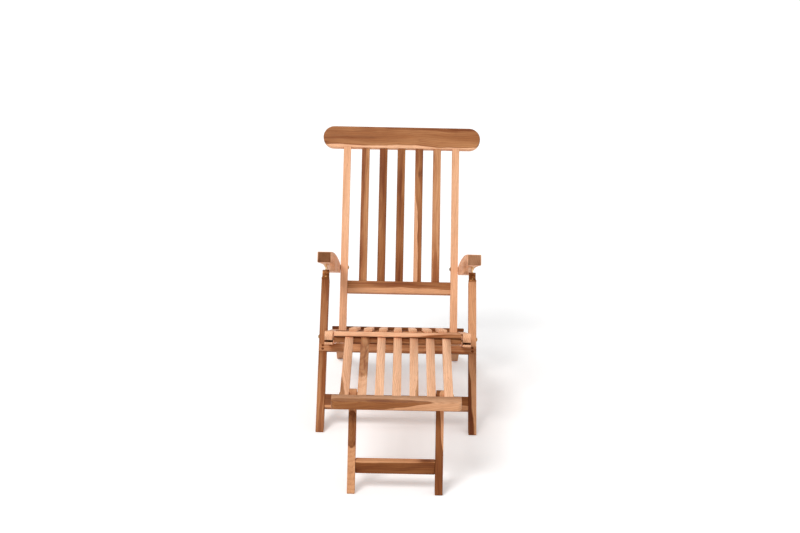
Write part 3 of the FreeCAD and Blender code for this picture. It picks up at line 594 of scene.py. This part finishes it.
ACROSS, UP = (1.0, 0.0, 0.0), (0.0, 0.0, 1.0)
SEAT, BACK, ARM = slope(-16.7), slope(62.4), slope(-18.5)
FRONT_LEG, REAR_LEG = slope(50.25), slope(-33.0)
FOOTREST, FOOTREST_LEG = slope(6.3), slope(68.4)
SIDES = ((-1, "l"), (1, "r"))
print("seat slopes by", round(math.degrees(math.atan2(SEAT[2], SEAT[1])), 2), "degrees")

# %% [markdown]
# ## The seat
# Seven slats lie over a front bar and reach back to a dark rail. The two side rails carry everything: they
# slope down to the rear, where the short rear legs are let into them. Their front ends are open slots for
# the footrest's pins. The slats are sapwood, each a little warmer or paler than its neighbour.

# %% Seat frame and slats
SLAT_SOFT, RAIL_SOFT = 0.0024, 0.003
for side, name in SIDES:
    # slotted=True gives the insides of the rails' open slots painted shade.
    cut_board("side_rail_" + name, "seat", SEAT, ACROSS, slotted=True, end_dark=0.0,
              wood="sap", warmth=0.15, seed=1.1 * side)
    cut_board("rear_leg_" + name, "seat", REAR_LEG, ACROSS, wood="sap", warmth=0.85, seed=2.3 * side)
cut_board("seat_front_bar", "seat", ACROSS, SEAT,
          heart=(0.022, -0.06), dip=5.0, sapwood=0.0488, depth=0.05, warmth=0.1, seed=3.1)
board("seat_mid_batten", "seat", ACROSS, SEAT, depth=0.3, seed=3.6)
cut_board("seat_rear_batten", "seat", ACROSS, SEAT, depth=0.4, seed=4.1)
board("rear_stretcher", "seat", ACROSS, REAR_LEG, depth=0.35, seed=4.7)
board("seat_rear_rail", "seat", ACROSS, SEAT, soft=RAIL_SOFT, heart=(0.03, 0.05), depth=0.8, seed=5.3)
for i, tan in enumerate((0.1, 0.0, 0.15, 0.0, 0.15, 0.05, 0.0), start=1):
    board("seat_slat_%d" % i, "seat", SEAT, ACROSS, soft=SLAT_SOFT, wood="sap", warmth=tan, seed=6.0 + i)
print("seat pieces:", len(made))

# %% [markdown]
# ## The front legs
# Each leg is one long bar. A flat rail is let into both legs below the seat, and a second one joins them
# near the floor. The right leg was sawn across the border of the sapwood, so dark heartwood grows into it
# towards the floor. Dark plugs cover the screws of the upper rail.

# %% Front legs
before = len(made)
cut_board("front_leg_l", "front_legs", FRONT_LEG, ACROSS, heart=(0.05, 0.03), depth=0.30, seed=20.1)
cut_board("front_leg_r", "front_legs", FRONT_LEG, ACROSS,
          slant=-4.9, edge=-0.009, depth=0.85, warmth=0.95, seed=21.7)
board("front_cross_rail_upper", "front_legs", ACROSS, FRONT_LEG, heart=(-0.05, 0.04), depth=0.02, seed=22.3)
board("front_cross_rail_lower", "front_legs", ACROSS, FRONT_LEG,
      heart=(-0.07, 0.02), edge=-0.0125, depth=0.85, warmth=0.95, seed=23.9)
cut_board("cross_rail_plugs", "front_legs", FRONT_LEG, ACROSS, end_dark=1.0, depth=1.0, seed=24.0)
print("front leg pieces:", len(made) - before)

# %% [markdown]
# ## The back
# Two stiles, five slats, a lower rail, and a headrest that is wider than the back. In the photograph the
# slats differ strongly: two are dark, one is tan, and one has a knot and a pale strip, so each gets its own
# place in the trunk.

# %% Back
before = len(made)
cut_board("back_stile_l", "back", BACK, ACROSS, slant=-0.6, edge=-0.0075, depth=0.12, warmth=0.28, seed=30.1)
cut_board("back_stile_r", "back", BACK, ACROSS, wood="sap", warmth=0.45, seed=31.1)
board("back_lower_rail", "back", ACROSS, BACK,
      heart=(-0.07, 0.03), edge=-0.002, depth=0.42, warmth=0.8, seed=32.3)
back_woods = (
    dict(heart=(0.05, 0.04), depth=0.28),
    dict(heart=(0.04, 0.05), depth=0.60),
    dict(heart=(0.03, 0.05), depth=0.60),
    dict(heart=(-0.07, 0.02), slant=-2.0, edge=-0.010, depth=0.45, warmth=0.5, knot=(0.001, 0.16, 0.0075)),
    dict(heart=(0.05, 0.05), depth=0.04),
)
for i, choice in enumerate(back_woods, start=1):
    board("back_slat_%d" % i, "back", BACK, ACROSS, soft=SLAT_SOFT, seed=33.0 + i * 1.3, **choice)
print("back pieces:", len(made) - before)

# %% [markdown]
# The headrest is a board whose outline is a long oval with straight sides. Its surface is a row of such
# outlines, stacked through the thickness: the outline of a straight-sided oval drawn inwards is the same
# shape with a smaller end radius, so a soft edge costs only one extra formula.

# %% Headrest


def oval_board(node, along, across, soft=0.005, turns=28, steps=6):
    """A flat board with half-round ends.
    Outline: angle a from 0 to 2 pi; a point is (+-L + R cos a, R sin a), with L the half length of the
    straight part and R the end radius. Level: the height is t - r + r sin b and the outline's radius
    R - r + r cos b, for b over a quarter circle on each face."""
    ways, low, high = spans(node, along, across)
    half, centre = (high - low) / 2, (high + low) / 2
    straight = half[0] - half[1]
    quarter = math.pi / 2
    angle = np.concatenate([np.linspace(-quarter, quarter, turns), np.linspace(quarter, 3 * quarter, turns)])
    reach = np.concatenate([np.full(turns, straight), np.full(turns, -straight)])
    bend = np.linspace(quarter, -quarter, 2 * steps)
    inset = soft * (1 - np.cos(bend))
    height = np.sign(np.sin(bend)) * (half[2] - soft) + soft * np.sin(bend)
    ring = np.stack([np.cos(angle), np.sin(angle)], 1)[None] * (half[1] - inset)[:, None, None]
    ring[..., 0] += reach
    rows, columns = ring.shape[:2]
    heights = np.broadcast_to(height[:, None, None], (rows, columns, 1))
    points = np.concatenate([ring, heights], axis=-1) + centre
    faces = grid_faces(rows, columns).tolist()
    faces.append(list(range(columns)))
    faces.append(list(range((rows - 1) * columns, rows * columns))[::-1])
    return points.reshape(-1, 3) @ ways, faces


head_points, head_faces = oval_board("headrest", ACROSS, BACK)
head_wood = teak_cut("headrest", ACROSS, BACK, middle_of("headrest"),
                     heart=(-0.055, 0.04), edge=-0.0240, depth=0.40, warmth=0.1, seed=40.3)
as_piece("headrest_board", head_points, head_faces, head_wood, "back", "headrest",
         Grain(ACROSS, BACK, False, 0.3))
print("headrest corners:", len(head_points))

# %% [markdown]
# ## The arms
# Each arm is sawn to a gentle arch, and both its sides slant in towards the stile. Its front end shows end
# grain: dark on the left arm, lighter on the right, while the sides are pale sapwood. The notches below are
# part of the frame's own shape, which is taken over.

# %% Arms
cut_board("arm_l", "arms", ARM, ACROSS, end_dark=1.93, wood="sap", warmth=0.0, seed=50.1)
cut_board("arm_r", "arms", ARM, ACROSS, end_dark=1.45, wood="sap", warmth=0.0, seed=51.9)
print("arm faces:", [len(piece.data.polygons) for piece in made[-2:]])

# %% [markdown]
# ## The footrest
# Seven slats run from a round-edged rail under the seat to a broad front rail with rounded corners. Two
# bearers carry the outer slats, and the legs swing between the slats, so that their round tops stand level
# with the top. In the second slat the brown heartwood ends in a rounded tongue, because that board lies at
# a dip to the trunk.

# %% Footrest
before = len(made)
footrest_woods = (
    dict(slant=-3.4, edge=-0.0116, depth=0.12, warmth=0.2),
    dict(heart=(0.0, 0.05), dip=-7.0, sapwood=0.0718, depth=0.06, warmth=0.3),
    dict(wood="sap", warmth=0.05),
    dict(wood="sap", warmth=0.1),
    dict(heart=(-0.07, 0.02), slant=1.1, edge=0.009, depth=0.12, warmth=0.12),
    dict(wood="sap", warmth=0.1),
    dict(wood="sap", warmth=0.0),
)
for i, choice in enumerate(footrest_woods, start=1):
    cut_board("footrest_slat_%d" % i, "footrest", FOOTREST, ACROSS, seed=60.0 + i * 1.7, **choice)
cut_board("footrest_rear_rail", "footrest", ACROSS, FOOTREST, heart=(0.05, 0.04), depth=0.42, seed=73.0)
cut_board("footrest_front_rail", "footrest", ACROSS, FOOTREST,
          heart=(0.022, 0.0218), dip=9.0, sapwood=0.0265, depth=0.5, warmth=0.72, seed=74.0)
for side, name in SIDES:
    cut_board("footrest_bearer_" + name, "footrest", FOOTREST, ACROSS,
              wood="sap", warmth=0.6, seed=75.0 + side)
cut_board("footrest_leg_l", "footrest_legs", FOOTREST_LEG, ACROSS,
          heart=(0.001, -0.0300), dip=20.0, sapwood=0.0215, depth=0.8, warmth=1.0, seed=77.0)
cut_board("footrest_leg_r", "footrest_legs", FOOTREST_LEG, ACROSS,
          slant=-4.0, edge=0.012, depth=0.82, warmth=0.9, seed=78.0)
board("footrest_crossbar", "footrest_legs", ACROSS, UP, soft=RAIL_SOFT,
      heart=(0.05, 0.006), edge=0.0190, depth=0.80, warmth=1.0, seed=79.4)
print("footrest pieces:", len(made) - before)

# %% [markdown]
# ## Fittings
# The metal pieces keep the frame's shape. They are round and small, so merging their corners and shading
# them smooth is all that they need.

# %% Metal pieces
for node, body, finish in (
    ("leg_caps", "front_legs", bronze), ("cap_screws", "front_legs", old_brass),
    ("arm_rest_pins", "front_legs", brass), ("leg_bolts", "seat", old_brass),
    ("back_bolts", "seat", old_brass), ("arm_bolts", "arms", old_brass),
    ("footrest_pins", "footrest_slide", brass), ("footrest_leg_bolts", "footrest", old_brass),
):
    taken_over("fitting_" + node, node, finish, body, sharp=SHARP_METAL)
print("pieces in all:", len(made), "of", len(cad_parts), "nodes")

# %% [markdown]
# ## Floor and light
# The photograph has a pure white ground. A large sheet of floor takes the chair's shadow. It is a pale matt
# sheet, and to the camera alone it glows a little as well, so that the lit floor reaches white and the
# shadow stays. What metal mirrors or glass lets through counts as the camera's view too.

# %% Floor
FLOOR_REACH, FLOOR_GLOW = 30.0, 0.24
FLOOR_COLOUR = (0.94, 0.94, 0.94, 1.0)


def seen_directly(tree):
    """1 for rays from the camera and for those that metal or glass sends on, 0 for scattered light."""
    path = tree.nodes.new("ShaderNodeLightPath")
    sent_on = maths(tree, "MAXIMUM", path.outputs["Is Glossy Ray"], path.outputs["Is Transmission Ray"])
    return maths(tree, "MAXIMUM", path.outputs["Is Camera Ray"], sent_on)


def glowing_sheet(name, colour, glow):
    """A matt sheet with the faintest mottling, which glows a little where it is seen directly."""
    material, tree, shader, where = new_material(name)
    mottle = wire(tree, "ShaderNodeTexNoise", None, Vector=where, Scale=3.0, Detail=2.0).outputs[0]
    shade = grey(tree, spread(tree, mottle, 0.0, 1.0, 0.99, 1.0, "LINEAR"))
    tree.links.new(mixed(tree, 1.0, colour, shade, "MULTIPLY"), shader.inputs["Base Color"])
    shader.inputs["Roughness"].default_value = 0.9
    shader.inputs["Specular IOR Level"].default_value = 0.1
    shader.inputs["Emission Color"].default_value = WHITE
    tree.links.new(maths(tree, "MULTIPLY", seen_directly(tree), glow), shader.inputs["Emission Strength"])
    return material


floor_mesh = bpy.data.meshes.new("floor")
floor_corners = [(x * FLOOR_REACH, y * FLOOR_REACH, 0.0) for x, y in ((-1, -1), (1, -1), (1, 1), (-1, 1))]
floor_mesh.from_pydata(floor_corners, [], [(0, 1, 2, 3)])
floor_mesh.materials.append(glowing_sheet("pale_floor", FLOOR_COLOUR, FLOOR_GLOW))
floor = bpy.data.objects.new("floor", floor_mesh)
bpy.context.collection.objects.link(floor)
print("floor of", 2 * FLOOR_REACH, "metres")

# %% [markdown]
# The world is plain white to the camera and to what metal mirrors, and a soft grey as a light, so the
# background can be white without more light on the wood.

# %% World
WORLD_LIGHT, WORLD_SEEN = 0.50, 1.0
world = bpy.data.worlds.new("white_room")
bpy.context.scene.world = world
world.use_nodes = True
sky = world.node_tree
as_light = sky.nodes["Background"]
as_light.inputs["Color"].default_value = WHITE
as_light.inputs["Strength"].default_value = WORLD_LIGHT
as_seen = wire(sky, "ShaderNodeBackground", None, Color=WHITE, Strength=WORLD_SEEN)
choose = wire(sky, "ShaderNodeMixShader", None, i0=seen_directly(sky))
sky.links.new(as_light.outputs[0], choose.inputs[1])
sky.links.new(as_seen.outputs[0], choose.inputs[2])
sky.links.new(choose.outputs[0], sky.nodes["World Output"].inputs[0])
print("world:", world.name, "light", WORLD_LIGHT)

# %% [markdown]
# The light comes from the front left, a little above, as the darker right sides of the slats show. A wide
# sun is used for it, because it lights the far floor as much as the near floor, where a lamp close by would
# fade. A second, wider and much weaker sun from the right opens the shadows.

# %% Lamps
for name, spot, strength, width in (
    ("key_light", (-2.2, -3.2, 4.4), 1.72, 24.0),
    ("fill_light", (3.0, -3.6, 1.6), 0.34, 60.0),
):
    lamp = bpy.data.objects.new(name, bpy.data.lights.new(name, "SUN"))
    lamp.data.energy = strength
    lamp.data.angle = math.radians(width)
    lamp.location = spot
    lamp.rotation_euler = (-Vector(spot)).to_track_quat("-Z", "Y").to_euler()
    bpy.context.collection.objects.link(lamp)
